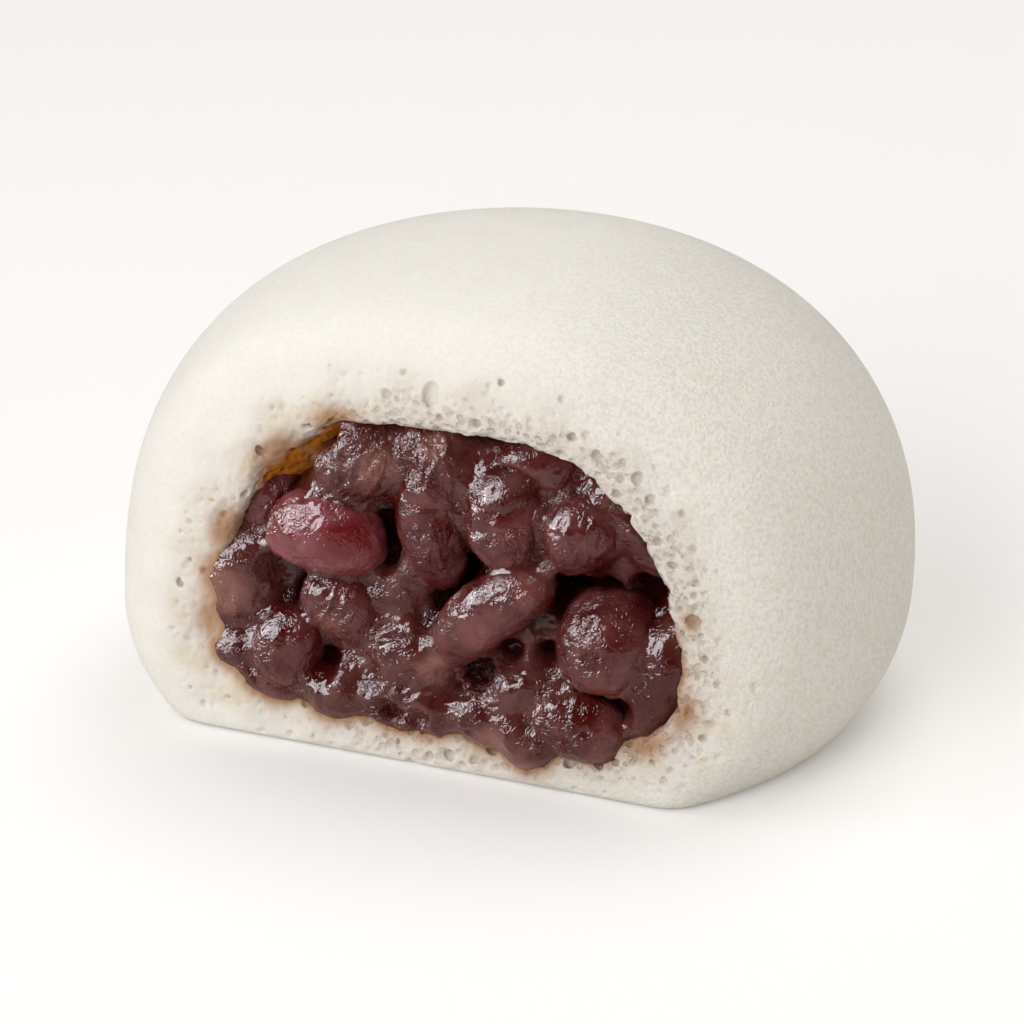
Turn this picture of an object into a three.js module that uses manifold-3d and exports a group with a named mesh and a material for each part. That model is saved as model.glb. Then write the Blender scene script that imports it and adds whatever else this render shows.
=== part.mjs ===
// Steamed bun, torn open at the front, with a chunky red bean paste filling.
// Millimetres, +Z up. The torn side looks along -Y, and the bun stands on its flat underside.
import * as THREE from 'three';
import { mergeVertices } from 'three/addons/utils/BufferGeometryUtils.js';
import Module from 'manifold-3d';

const wasm = await Module();
wasm.setup();

// The whole bun is a dome with its axis at x = 0, y = 0, drawn in a little below its widest height.
const bun = { radius: 37.5, footRadius: 32.6, height: 44, widestAt: 11.2, fullness: 2.43 };

// A hand-made bun is a little flat in some places and full in others, each fading out over its reach.
const unevenSpots = [
  { x: 14, y: 8, z: 42, reach: 17, fuller: -0.3 },
  { x: 36, y: 10, z: 18, reach: 12, fuller: 0.3 },
  { x: 32, y: 12, z: 4, reach: 11, fuller: -0.5 },
  { x: -30, y: -8, z: 28, reach: 14, fuller: -0.25 },
  { x: -28, y: -20, z: 2, reach: 9, fuller: 0.9 },
  { x: -16, y: 34, z: 22, reach: 16, fuller: -0.5 },
  { x: 12, y: 36, z: 12, reach: 12, fuller: 0.3 },
];

// The tear takes off the front of the dome. It leans back, its rim is rolled and its middle is dished.
const tear = {
  distance: 22.6,
  leanDegrees: 2.5,
  rimRound: 6.5,
  footRimRound: 1.6,
  dish: 1.8,
  dishHalfWidth: 28,
  dishHalfHeight: 19.5,
};

// The hollow that the filling lies in: flat below, domed above, and open through the tear.
const hollow = {
  centre: new THREE.Vector3(0.6, 1, 17.8),
  halfWidth: 25.6,
  headroom: 17.4,
  footroom: 14.6,
  backDepth: 25,
  frontDepth: 40,
  domedPower: 2.1,
  flatPower: 4.5,
  depthPower: 2.5,
};

// The paste is the hollow's shape, a little smaller, lower under the roof and cut off behind the tear.
const paste = { gap: 0.35, roofGap: 1.7, setback: 3.8 };

// Whole beans that show at the tear, the foremost first: the place along x and z, how far the middle
// stands in front of the tear, the three sizes, the tilt in the plane of the tear and the turn about
// +Z, in degrees.
const beans = [
  { x: 5.8, z: 15.8, out: -0.9, length: 14.4, height: 5.9, depth: 5.8, tilt: 41, turn: -6 },
  { x: -10.8, z: 20.7, out: -2.1, length: 11.4, height: 7.6, depth: 7.4, tilt: -2, turn: 4 },
  { x: 16.7, z: 13.9, out: -4.2, length: 11.4, height: 9.6, depth: 9.4, tilt: 0, turn: 80 },
  { x: 14.2, z: 6.4, out: -2.2, length: 10, height: 7, depth: 7, tilt: -14, turn: 0 },
  { x: -14.6, z: 9, out: -2.2, length: 8, height: 6.6, depth: 6.4, tilt: 70, turn: 10 },
  { x: -9.4, z: 13.7, out: -2.8, length: 8.6, height: 6.2, depth: 6, tilt: -30, turn: 0 },
  { x: 6.7, z: 24.7, out: -3.2, length: 9.6, height: 7, depth: 7, tilt: 98, turn: 0 },
  { x: -0.5, z: 23.2, out: -3.4, length: 13.6, height: 6.2, depth: 6.4, tilt: 96, turn: 0 },
  { x: 13.6, z: 23.8, out: -4, length: 7.8, height: 6.8, depth: 6.6, tilt: 30, turn: 30 },
  { x: 8.4, z: 29.1, out: -5.4, length: 8.4, height: 5.6, depth: 6, tilt: 12, turn: 0 },
  { x: -17.9, z: 21.6, out: -6, length: 8.4, height: 6.2, depth: 6, tilt: 60, turn: 20 },
];

// Lumps of mashed bean that the front of the paste is made of, in the same terms.
const lumps = [
  { x: -8.6, z: 27.4, out: -4.4, length: 10.6, height: 8.6, depth: 8.6, tilt: 22, turn: 0 },
  { x: -20, z: 14.6, out: -3.4, length: 9.8, height: 5.8, depth: 6.4, tilt: 84, turn: 0 },
  { x: -20, z: 8, out: -2.2, length: 4.6, height: 3.8, depth: 5, tilt: 0, turn: 0 },
  { x: -16, z: 5.6, out: -2, length: 6.6, height: 3.8, depth: 5, tilt: -12, turn: 0 },
  { x: -9.4, z: 5.6, out: -1.8, length: 6.4, height: 6, depth: 5.4, tilt: 0, turn: 0 },
  { x: -1.9, z: 5.6, out: -2, length: 10, height: 5.6, depth: 6, tilt: -4, turn: 0 },
  { x: 5.4, z: 5.4, out: -1.8, length: 6.4, height: 5.2, depth: 6, tilt: -20, turn: 0 },
  { x: 9.8, z: 4.6, out: -0.6, length: 6.4, height: 4.2, depth: 4.4, tilt: -32, turn: 0 },
  { x: 9.2, z: 8.4, out: -1.8, length: 6.4, height: 6, depth: 5.6, tilt: 60, turn: 0 },
  { x: -2, z: 10.4, out: -1.6, length: 7, height: 4.4, depth: 5, tilt: 6, turn: 0 },
  { x: 20.7, z: 10.6, out: -3.6, length: 11.4, height: 6.2, depth: 7, tilt: 66, turn: 0 },
  { x: 18.2, z: 25.4, out: -5.6, length: 13, height: 5, depth: 6, tilt: 126, turn: 0 },
  { x: 1.6, z: 30.4, out: -6, length: 14, height: 3.8, depth: 6, tilt: -2, turn: 0 },
  { x: -5.2, z: 11, out: -3.6, length: 6, height: 5.4, depth: 6, tilt: 0, turn: 0 },
  { x: -3.6, z: 16.6, out: -4.6, length: 7.4, height: 5.6, depth: 7, tilt: 80, turn: 0 },
  { x: 9, z: 11.4, out: -4, length: 7, height: 6, depth: 6, tilt: 50, turn: 0 },
];

// A bean's ends are blunt, and one of its sides is a little hollow, as a share of its length.
const beanShape = { bluntness: 2.4, bend: 0.07 };

// Neighbours keep this gap. A socket's flats cut its corners, so it is larger by a share of the length.
const gap = { clearance: 0.32, socketShare: 0.045 };

// How often each ball's faces are split. Small lumps are split once less.
const splits = { dough: 9, filling: 5, bean: 2, lump: 2, socket: 1 };
const smallLump = 6.8;

// The dough's and the paste's faces crowd towards the tear, where the shape turns most.
const crowding = 0.35;

const doughMiddle = new THREE.Vector3(0, 4, 17);
const farthest = 70;
const halvings = 36;

const looks = {
  dough: { color: 0xeceae3, roughness: 0.62, metalness: 0 },
  paste: { color: 0x4b2f30, roughness: 0.34, metalness: 0 },
  bean: { color: 0x5f343a, roughness: 0.28, metalness: 0 },
};

function tearY(z) {
  return Math.tan(THREE.MathUtils.degToRad(tear.leanDegrees)) * z - tear.distance;
}

// The larger of two distances, with the edge between them rounded over the width given.
function roundedMax(first, second, width) {
  const overlap = Math.max(width - Math.abs(first - second), 0) / width;
  return Math.max(first, second) + (overlap * overlap * width) / 4;
}

function outsideDome(point) {
  const across = Math.hypot(point.x, point.y);
  if (point.z < bun.widestAt) {
    const below = 1 - point.z / bun.widestAt;
    return across - bun.radius + (bun.radius - bun.footRadius) * below * below;
  }
  const up = (point.z - bun.widestAt) / (bun.height - bun.widestAt);
  const sum = (across / bun.radius) ** bun.fullness + up ** bun.fullness;
  return bun.radius * (sum ** (1 / bun.fullness) - 1);
}

function unevenness(point) {
  let fuller = 0;
  for (const spot of unevenSpots) {
    const away = Math.hypot(point.x - spot.x, point.y - spot.y, point.z - spot.z) / spot.reach;
    fuller += spot.fuller * Math.exp(-away * away);
  }
  return fuller;
}

function inFrontOfTear(point) {
  const across = (point.x - hollow.centre.x) / tear.dishHalfWidth;
  const up = point.z / tear.dishHalfHeight - 1;
  const middle = Math.max(1 - across ** 4 - up ** 4, 0);
  return tearY(point.z) + tear.dish * middle - point.y;
}

function outsideDough(point) {
  const lifted = THREE.MathUtils.smoothstep(point.z, 0, tear.dishHalfHeight);
  const round = THREE.MathUtils.lerp(tear.footRimRound, tear.rimRound, lifted);
  return roundedMax(outsideDome(point) - unevenness(point), inFrontOfTear(point), round);
}

function outsideHollow(point, shrink, roofShrink) {
  const above = point.z > hollow.centre.z;
  const power = above ? hollow.domedPower : hollow.flatPower;
  const halfHeight = above ? hollow.headroom - roofShrink : hollow.footroom - shrink;
  const depth = point.y > hollow.centre.y ? hollow.backDepth - shrink : hollow.frontDepth;
  const across = Math.abs(point.x - hollow.centre.x) / (hollow.halfWidth - shrink);
  const up = Math.abs(point.z - hollow.centre.z) / halfHeight;
  const along = Math.abs(point.y - hollow.centre.y) / depth;
  return across ** power + up ** power + along ** hollow.depthPower - 1;
}

function outsidePaste(point) {
  const behindTear = tearY(point.z) + paste.setback - point.y;
  return Math.max(outsideHollow(point, paste.gap, paste.roofGap), behindTear);
}

// Where the ray from a middle point leaves a form.
function surfacePoint(middle, direction, outside) {
  let inner = 0;
  let outer = farthest;
  const point = new THREE.Vector3();
  for (let halving = 0; halving < halvings; halving += 1) {
    const reach = (inner + outer) / 2;
    point.copy(direction).multiplyScalar(reach).add(middle);
    if (outside(point) > 0) {
      outer = reach;
    } else {
      inner = reach;
    }
  }
  return point;
}

function positionsOnly(geometry) {
  geometry.deleteAttribute('normal');
  geometry.deleteAttribute('uv');
  return mergeVertices(geometry);
}

function ball(splitCount) {
  return positionsOnly(new THREE.IcosahedronGeometry(1, splitCount));
}

// A ball blown up from a middle point until it lies on the form.
function blownUp(middle, splitCount, outside) {
  const geometry = ball(splitCount);
  const places = geometry.attributes.position;
  const direction = new THREE.Vector3();
  for (let index = 0; index < places.count; index += 1) {
    direction.fromBufferAttribute(places, index).normalize();
    direction.y -= crowding;
    const point = surfacePoint(middle, direction.normalize(), outside);
    places.setXYZ(index, point.x, point.y, point.z);
  }
  return geometry;
}

// A bean or a lump lies along X.
function beanGeometry(bean, splitCount, grow) {
  const geometry = ball(splitCount);
  const places = geometry.attributes.position;
  const point = new THREE.Vector3();
  const { bluntness } = beanShape;
  for (let index = 0; index < places.count; index += 1) {
    point.fromBufferAttribute(places, index).normalize();
    const sum = [point.x, point.y, point.z].reduce((total, part) => total + Math.abs(part) ** bluntness, 0);
    point.multiplyScalar(sum ** (-1 / bluntness));
    const arch = beanShape.bend * bean.length * (0.5 - point.x * point.x);
    point.x *= bean.length / 2 + grow;
    point.y *= bean.depth / 2 + grow;
    point.z = point.z * (bean.height / 2 + grow) + arch;
    places.setXYZ(index, point.x, point.y, point.z);
  }
  return geometry;
}

function placedInTear(mesh, bean) {
  mesh.position.set(bean.x, tearY(bean.z) - bean.out, bean.z);
  mesh.rotation.order = 'ZYX';
  mesh.rotation.y = -THREE.MathUtils.degToRad(bean.tilt);
  mesh.rotation.z = THREE.MathUtils.degToRad(bean.turn);
  mesh.updateMatrixWorld(true);
  return mesh;
}

function solidFrom(geometry) {
  const vertProperties = new Float32Array(geometry.attributes.position.array);
  const triVerts = new Uint32Array(geometry.index.array);
  return new wasm.Manifold(new wasm.Mesh({ numProp: 3, vertProperties, triVerts }));
}

function geometryFrom(solid) {
  const { vertProperties, triVerts } = solid.getMesh();
  const geometry = new THREE.BufferGeometry();
  geometry.setAttribute('position', new THREE.BufferAttribute(vertProperties, 3));
  geometry.setIndex(new THREE.BufferAttribute(triVerts, 1));
  geometry.computeVertexNormals();
  return geometry;
}

function placedSolid(bean, splitCount, grow) {
  const mesh = placedInTear(new THREE.Mesh(beanGeometry(bean, splitCount, grow)), bean);
  return solidFrom(mesh.geometry.applyMatrix4(mesh.matrixWorld));
}

function socketSolid(bean) {
  return placedSolid(bean, splits.socket, gap.clearance + gap.socketShare * bean.length);
}

function belowFloor() {
  const block = new THREE.BoxGeometry(2 * farthest, 2 * farthest, farthest);
  return solidFrom(positionsOnly(block.translate(0, 0, -farthest / 2)));
}

// Cutting can leave loose slivers, which fall away.
function largestPiece(solid) {
  return solid.decompose().reduce((largest, piece) => (piece.volume() > largest.volume() ? piece : largest));
}

function makeDough() {
  let dough = solidFrom(blownUp(doughMiddle, splits.dough, outsideDough)).subtract(belowFloor());
  const hollowForm = (point) => outsideHollow(point, 0, 0);
  dough = dough.subtract(solidFrom(blownUp(hollow.centre, splits.filling, hollowForm)));
  for (const piece of [...beans, ...lumps]) {
    dough = dough.subtract(socketSolid(piece));
  }
  return new THREE.Mesh(geometryFrom(largestPiece(dough)), new THREE.MeshStandardMaterial(looks.dough));
}

function makePaste() {
  let solid = solidFrom(blownUp(hollow.centre, splits.filling, outsidePaste));
  for (const lump of lumps) {
    const splitCount = lump.length > smallLump ? splits.lump : splits.lump - 1;
    solid = solid.add(placedSolid(lump, splitCount, 0));
  }
  for (const bean of beans) {
    solid = solid.subtract(socketSolid(bean));
  }
  return new THREE.Mesh(geometryFrom(largestPiece(solid)), new THREE.MeshStandardMaterial(looks.paste));
}

// A bean is pressed in where it meets the ones in front of it.
function makeBean(bean, beansInFront) {
  let solid = placedSolid(bean, splits.bean, 0);
  for (const other of beansInFront) {
    solid = solid.subtract(placedSolid(other, splits.bean, gap.clearance));
  }
  const mesh = new THREE.Mesh(geometryFrom(solid), new THREE.MeshStandardMaterial(looks.bean));
  placedInTear(mesh, bean);
  mesh.geometry.applyMatrix4(mesh.matrixWorld.clone().invert());
  return mesh;
}

const bunGroup = new THREE.Group();

function addNamed(mesh, name) {
  mesh.name = name;
  bunGroup.add(mesh);
}

addNamed(makeDough(), 'dough');
addNamed(makePaste(), 'bean_paste');
beans.forEach((bean, index) => {
  addNamed(makeBean(bean, beans.slice(0, index)), `bean_${String(index + 1).padStart(2, '0')}`);
});

// The origin is under the middle of the whole, on the surface that the bun stands on.
const extent = new THREE.Box3().setFromObject(bunGroup);
const middle = extent.getCenter(new THREE.Vector3());
bunGroup.position.set(-middle.x, -middle.y, -extent.min.z);

const steamedBun = new THREE.Group();
steamedBun.add(bunGroup);

export default steamedBun;
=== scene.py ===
# A steamed bun, torn open at the front so that its chunky red bean paste shows.
import math

import bpy
import numpy as np
from mathutils import Matrix, Vector, noise
from mathutils.bvhtree import BVHTree


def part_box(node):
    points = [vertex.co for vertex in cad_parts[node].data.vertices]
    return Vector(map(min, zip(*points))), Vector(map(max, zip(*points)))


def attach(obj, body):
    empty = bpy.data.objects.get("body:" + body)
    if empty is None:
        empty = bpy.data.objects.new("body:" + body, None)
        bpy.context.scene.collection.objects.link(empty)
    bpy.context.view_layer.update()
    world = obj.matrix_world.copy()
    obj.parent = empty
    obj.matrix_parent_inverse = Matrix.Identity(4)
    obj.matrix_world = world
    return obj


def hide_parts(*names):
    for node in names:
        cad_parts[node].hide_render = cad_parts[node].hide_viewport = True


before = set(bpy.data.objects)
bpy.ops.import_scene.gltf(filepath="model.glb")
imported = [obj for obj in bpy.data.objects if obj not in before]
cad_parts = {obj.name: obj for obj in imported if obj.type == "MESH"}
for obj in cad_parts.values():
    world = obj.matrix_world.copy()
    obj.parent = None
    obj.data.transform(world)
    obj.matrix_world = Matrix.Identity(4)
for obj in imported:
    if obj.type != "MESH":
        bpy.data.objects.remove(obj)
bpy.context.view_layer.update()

mm = 0.001
chance = np.random.default_rng(7)  # everything that is scattered comes from this seed

doughLow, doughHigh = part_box("dough")
bunRadius = (doughHigh.x - doughLow.x) / 2 / mm
bunHeight = doughHigh.z / mm
bunAxis = Vector(((doughLow.x + doughHigh.x) / 2, doughHigh.y - bunRadius * mm, 0))

viewpoint = {
    "azimuth": 22.5,
    "elevation": 22,
    "distance": 0.375,
    "aimHeight": 0.022,
    "lens": 139.4,
    "shift": (-0.0076, -0.0482),
}


def addCamera(settings):
    turn, lift = math.radians(settings["azimuth"]), math.radians(settings["elevation"])
    back = Vector((math.sin(turn) * math.cos(lift), -math.cos(turn) * math.cos(lift), math.sin(lift)))
    aim = bunAxis + Vector((0, 0, settings["aimHeight"]))
    bpy.ops.object.camera_add(location=aim + back * settings["distance"])
    camera = bpy.context.object
    camera.rotation_euler = back.to_track_quat("Z", "Y").to_euler()
    camera.data.lens = settings["lens"]
    camera.data.shift_x, camera.data.shift_y = settings["shift"]
    camera.data.clip_start = 0.01
    bpy.context.scene.camera = camera


# the wet filling mirrors lamps of its own, so that its gloss can be set apart from the light
lamps = {
    "key": {"place": (-0.44, -0.27, 0.54), "size": (0.50, 0.60), "watts": 0.92, "colour": (0.965, 0.98, 1)},
    "top": {"place": (0.06, 0.28, 0.66), "size": (0.50, 0.40), "watts": 1.52, "colour": (1, 0.995, 0.98)},
    "front": {"place": (-0.10, -0.66, 0.36), "size": (0.45, 0.45), "watts": 2.78, "colour": (1, 0.99, 0.975)},
    "side": {"place": (0.62, 0.02, 0.13), "size": (0.5, 0.24), "watts": 0.54, "colour": (1, 0.94, 0.85)},
}
mirroredLamps = {
    "keyGloss": {"place": (-0.5, -0.29, 0.43), "size": (0.68, 0.8), "watts": 16, "colour": (0.975, 0.955, 1)},
    "sideGloss": {"place": (-0.6, -0.16, 0.16), "size": (0.22, 0.22), "watts": 1.2,
                  "colour": (0.95, 0.95, 1)},
    "topGloss": {"place": (0.06, 0.29, 0.62), "size": (0.68, 0.54), "watts": 7, "colour": (1, 0.995, 0.98)},
}
roomLight = {"seen": (1, 1, 1, 1), "given": (1, 0.945, 0.88, 1), "strength": 0.35}
floorLook = {
    "size": 6,
    "colour": (0.93, 0.93, 0.93, 1),
    "bounce": (0.78, 0.77, 0.76, 1),
    # how much it glows near the bun and far off, and between which distances that changes
    "glow": (0.14, 0.5),
    "glowFrom": (0.25, 1.2),
}


def addLamp(name, lamp, mirrored):
    bpy.ops.object.light_add(type="AREA", location=lamp["place"])
    light = bpy.context.object
    light.name = name
    aim = bunAxis + Vector((0, 0, viewpoint["aimHeight"]))
    light.rotation_euler = (light.location - aim).to_track_quat("Z", "Y").to_euler()
    light.data.shape = "RECTANGLE"
    light.data.size, light.data.size_y = lamp["size"]
    light.data.energy = lamp["watts"]
    light.data.color = lamp["colour"]
    light.visible_diffuse = not mirrored
    light.visible_glossy = mirrored


def addLamps():
    for name, lamp in lamps.items():
        addLamp(name, lamp, False)
    for name, lamp in mirroredLamps.items():
        addLamp(name, lamp, True)
    world = bpy.data.worlds.new("room")
    world.use_nodes = True
    nodes, links = world.node_tree.nodes, world.node_tree.links
    given, seen = nodes["Background"], nodes.new("ShaderNodeBackground")
    given.inputs["Color"].default_value = roomLight["given"]
    given.inputs["Strength"].default_value = roomLight["strength"]
    seen.inputs["Color"].default_value = roomLight["seen"]
    chooser = nodes.new("ShaderNodeMixShader")
    links.new(nodes.new("ShaderNodeLightPath").outputs["Is Camera Ray"], chooser.inputs["Fac"])
    links.new(given.outputs["Background"], chooser.inputs[1])
    links.new(seen.outputs["Background"], chooser.inputs[2])
    links.new(chooser.outputs["Shader"], nodes["World Output"].inputs["Surface"])
    bpy.context.scene.world = world
    world.cycles_visibility.glossy = False


def pickOnly(piece):
    bpy.ops.object.select_all(action="DESELECT")
    piece.select_set(True)
    bpy.context.view_layer.objects.active = piece


def finishWith(piece, kind, **settings):
    modifier = piece.modifiers.new(kind.title(), kind)
    for name, value in settings.items():
        setattr(modifier, name, value)
    pickOnly(piece)
    bpy.ops.object.modifier_apply(modifier=modifier.name)


def pointsOf(piece):
    points = np.empty(len(piece.data.vertices) * 3, np.float32)
    piece.data.vertices.foreach_get("co", points)
    return points.reshape(-1, 3)


def movePoints(piece, points):
    piece.data.vertices.foreach_set("co", np.asarray(points, np.float32).ravel())
    piece.data.update()


def normalsOf(piece):
    normals = np.empty(len(piece.data.vertices) * 3, np.float32)
    piece.data.vertex_normals.foreach_get("vector", normals)
    return normals.reshape(-1, 3)


def keepOnPoints(piece, name, values):
    attribute = piece.data.attributes.new(name, "FLOAT", "POINT")
    attribute.data.foreach_set("value", np.asarray(values, np.float32))


def weighPoints(piece, name, weights):
    group = piece.vertex_groups.new(name=name)
    for index, weight in enumerate(weights):
        if weight > 0.001:
            group.add([index], float(weight), "REPLACE")


def roughTexture(name, kind, size, **settings):
    texture = bpy.data.textures.new(name, kind)
    texture.noise_scale = size * mm
    for setting, value in settings.items():
        setattr(texture, setting, value)
    return texture


def smoothStep(values, low, high):
    share = np.clip((values - low) / (high - low), 0, 1)
    return share * share * (3 - 2 * share)


def roughen(piece, texture, height, **masked):
    finishWith(piece, "DISPLACE", texture=texture, texture_coords="LOCAL", strength=height * mm,
               mid_level=0.5, **masked)


def shadeSmooth(piece):
    pickOnly(piece)
    bpy.ops.object.shade_smooth()


def surfaceTree(piece):
    piece.data.calc_loop_triangles()
    corners = [tuple(triangle.vertices) for triangle in piece.data.loop_triangles]
    return BVHTree.FromPolygons([vertex.co for vertex in piece.data.vertices], corners)


def copyOfNode(node, name):
    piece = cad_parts[node].copy()
    piece.data = piece.data.copy()
    piece.name = piece.data.name = name
    piece.parent = None
    for key in list(piece.keys()):
        del piece[key]
    bpy.context.collection.objects.link(piece)
    pickOnly(piece)
    bpy.ops.object.mode_set(mode="EDIT")
    bpy.ops.mesh.select_all(action="SELECT")
    bpy.ops.mesh.remove_doubles(threshold=0.0001 * mm)
    bpy.ops.object.mode_set(mode="OBJECT")
    piece.data.materials.clear()
    return piece


def joined(pieces):
    bpy.ops.object.select_all(action="DESELECT")
    for piece in pieces:
        piece.select_set(True)
    bpy.context.view_layer.objects.active = pieces[0]
    bpy.ops.object.join()
    return bpy.context.object


def report(piece):
    piece.data.calc_loop_triangles()
    print(piece.name, "has", len(piece.data.loop_triangles), "triangles")


def editPoints(piece, chosen):
    # opens the piece for editing with only the chosen points selected
    mesh = piece.data
    mesh.polygons.foreach_set("select", np.zeros(len(mesh.polygons), bool))
    mesh.edges.foreach_set("select", np.zeros(len(mesh.edges), bool))
    mesh.vertices.foreach_set("select", np.asarray(chosen, bool))
    pickOnly(piece)
    bpy.ops.object.mode_set(mode="EDIT")
    bpy.ops.mesh.select_mode(type="VERT")


def thinOut(piece, chosen, triangles):
    # collapses edges between the chosen points until about that many triangles are left there
    share = triangles / (2 * np.count_nonzero(chosen))
    if share < 1:
        editPoints(piece, chosen)
        bpy.ops.mesh.decimate(ratio=share)
        bpy.ops.object.mode_set(mode="OBJECT")


# the form of the bun, in millimetres from its axis, with the torn side towards -Y
bunForm = {
    "footRadius": 32.6,
    "widestAt": 11.2,
    "fullness": 2.43,
    "tearDistance": 22.6,
    "tearLean": 2.5,
    "rimRound": 6.5,
    "footRimRound": 1.6,
    "dish": 1.8,
    "dishHalfWidth": 28,
    "dishHalfHeight": 19.5,
    "underside": 0.02,
    # a little flat in some places and full in others: x, y, z, reach, how much fuller
    "uneven": [
        (14, 8, 42, 17, -0.3),
        (36, 10, 18, 12, 0.3),
        (32, 12, 4, 11, -0.5),
        (-30, -8, 28, 14, -0.25),
        (-28, -20, 2, 9, 0.9),
        (-16, 34, 22, 16, -0.5),
        (12, 36, 12, 12, 0.3),
    ],
}
hollowForm = {
    "centre": (1.3, 1, 11.8),
    "halfWidth": 23.8,
    "headroom": 22.1,
    "footroom": 9.0,
    "backDepth": 25,
    "frontDepth": 44,
    "domedPower": 2.5,
    "flatPower": 2.6,
    "depthPower": 2.5,
    # where the roof slopes down behind the lip: x, z, reach, and how much it narrows for each millimetre
    "slopes": [(-15.0, 28.5, 6.5)],
    "narrowing": 0.085,
    # where the mouth is torn wider: x, z, reach, how much wider
    "wider": [
        (-24.0, 12.0, 4.0, 0.4),
        (-17.0, 28.6, 4.5, 1.5),
        (-10.5, 32.6, 4.0, 1.1),
        (-21.6, 20.0, 4.0, 0.5),
        (11.5, 33.2, 3.6, 0.8),
        (24.6, 15.4, 2.0, 0.9),
        (24.4, 9.5, 3.4, 0.7),
        (21.6, 4.6, 3.2, 0.8),
    ],
    "widerDepth": 3.5,
}


def tearY(z):
    return math.tan(math.radians(bunForm["tearLean"])) * z - bunForm["tearDistance"]


def behindTear(points):
    return points[:, 1] - tearY(points[:, 2])


def outsideDome(points):
    x, y, z = points.T
    across = np.hypot(x, y)
    widest, fullness = bunForm["widestAt"], bunForm["fullness"]
    below = 1 - z / widest
    foot = across - bunRadius + (bunRadius - bunForm["footRadius"]) * below * below
    up = np.maximum(z - widest, 0) / (bunHeight - widest)
    cap = bunRadius * (((across / bunRadius) ** fullness + up ** fullness) ** (1 / fullness) - 1)
    outside = np.where(z < widest, foot, cap)
    for *spot, reach, fuller in bunForm["uneven"]:
        away = np.linalg.norm(points - np.array(spot), axis=1) / reach
        outside -= fuller * np.exp(-away * away)
    return outside


def inFrontOfTear(points):
    x, y, z = points.T
    across = (x - hollowForm["centre"][0]) / bunForm["dishHalfWidth"]
    up = z / bunForm["dishHalfHeight"] - 1
    middle = np.maximum(1 - across ** 4 - up ** 4, 0)
    return tearY(z) + bunForm["dish"] * middle - y


def outsideDough(points):
    lifted = smoothStep(points[:, 2], 0, bunForm["dishHalfHeight"])
    width = bunForm["footRimRound"] + (bunForm["rimRound"] - bunForm["footRimRound"]) * lifted
    skin, tear = outsideDome(points), inFrontOfTear(points)
    overlap = np.maximum(width - np.abs(skin - tear), 0) / width
    above = np.maximum(skin, tear) + overlap * overlap * width / 4
    return np.maximum(above, bunForm["underside"] - points[:, 2])


def hollowShares(points):
    x, y, z = (points - np.array(hollowForm["centre"])).T
    power = np.where(z > 0, hollowForm["domedPower"], hollowForm["flatPower"])
    halfHeight = np.where(z > 0, hollowForm["headroom"], hollowForm["footroom"])
    outline = (np.abs(x) / hollowForm["halfWidth"]) ** power + (np.abs(z) / halfHeight) ** power
    depth = np.where(y > 0, hollowForm["backDepth"], hollowForm["frontDepth"])
    return outline, (np.abs(y) / depth) ** hollowForm["depthPower"], power


def outsideHollow(points):
    outline, along, _ = hollowShares(points)
    behind = np.clip(-inFrontOfTear(points), 0, 8)
    narrower = hollowForm["narrowing"] * behind * spotShares(points, hollowForm["slopes"])
    mouth = np.exp(-(behind / hollowForm["widerDepth"]) ** 2)
    steepness = hollowForm["domedPower"] / hollowForm["halfWidth"]
    for x, z, reach, wider in hollowForm["wider"]:
        away = np.hypot(points[:, 0] - x, points[:, 2] - z) / reach
        narrower = narrower - steepness * wider * np.exp(-away * away) * mouth
    return outline + along - 1 + narrower


def fromHollowEdge(points):
    # millimetres from the hollow's outline, measured across the tear
    outline, _, power = hollowShares(points)
    x, _, z = (points - np.array(hollowForm["centre"])).T
    return np.hypot(x, z) * (1 - np.maximum(outline, 1e-6) ** (-1 / power))


def local(points):
    return (points - np.array(bunAxis)) / mm


def placed(points):
    return points * mm + np.array(bunAxis)


def blownUpBall(name, splits, middle, crowding, outside):
    # each point of a ball slides along its ray until it lies on the form
    bpy.ops.object.select_all(action="DESELECT")
    bpy.ops.mesh.primitive_ico_sphere_add(subdivisions=splits, radius=1)
    ball = bpy.context.object
    ball.name = ball.data.name = name
    rays = pointsOf(ball).astype(float)
    rays[:, 1] -= crowding
    rays /= np.linalg.norm(rays, axis=1)[:, None]
    inner, outer = np.zeros(len(rays)), np.full(len(rays), 70.0)
    for _ in range(30):
        reach = (inner + outer) / 2
        beyond = outside(middle + rays * reach[:, None]) > 0
        outer = np.where(beyond, reach, outer)
        inner = np.where(beyond, inner, reach)
    movePoints(ball, placed(middle + rays * inner[:, None]))
    return ball


def cutAway(piece, cutter):
    finishWith(piece, "BOOLEAN", operation="DIFFERENCE", solver="MANIFOLD", object=cutter)
    bpy.data.objects.remove(cutter)


doughMake = {
    "middle": np.array((0, 4, 17)),
    "ballSplits": 7,
    "hollowSplits": 6,
    "crowding": 0.35,
    "blankVoxel": 0.55,
    "blankSmoothing": 5,
    "cellVoxel": 0.3,
    "fineVoxel": 0.2,
    "deepTriangles": 4000,
    "skinTriangles": 46000,
    "tornTriangles": 112000,
    # below this share of torn crumb it counts as skin, and from this share on its faces are split
    "skinBelow": 0.02,
    "splitFrom": 0.1,
    # the paste covers the hollow's wall this far behind the tear, and further where the roof slopes
    "hiddenWall": 0.06,
    "hiddenBehind": 3.5,
    "slopedFrom": 0.3,
    "slopedBehind": 9,
}
# where the dough is torn and no longer skin: its width low down and high up, and where it starts and ends
crumbPatch = {
    "lowWidth": (2.4, 7.6),
    "highWidth": (1.2, 4.8),
    "highFrom": (12, 24),
    "depth": (4.0, 7.0),
    "wall": (-0.25, -0.1),
    "foot": (0.2, 1.0),
    "wobbleX": (0.8, 0.9, 1.1),
    "wobbleZ": (0.6, 1.3),
}
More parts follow.
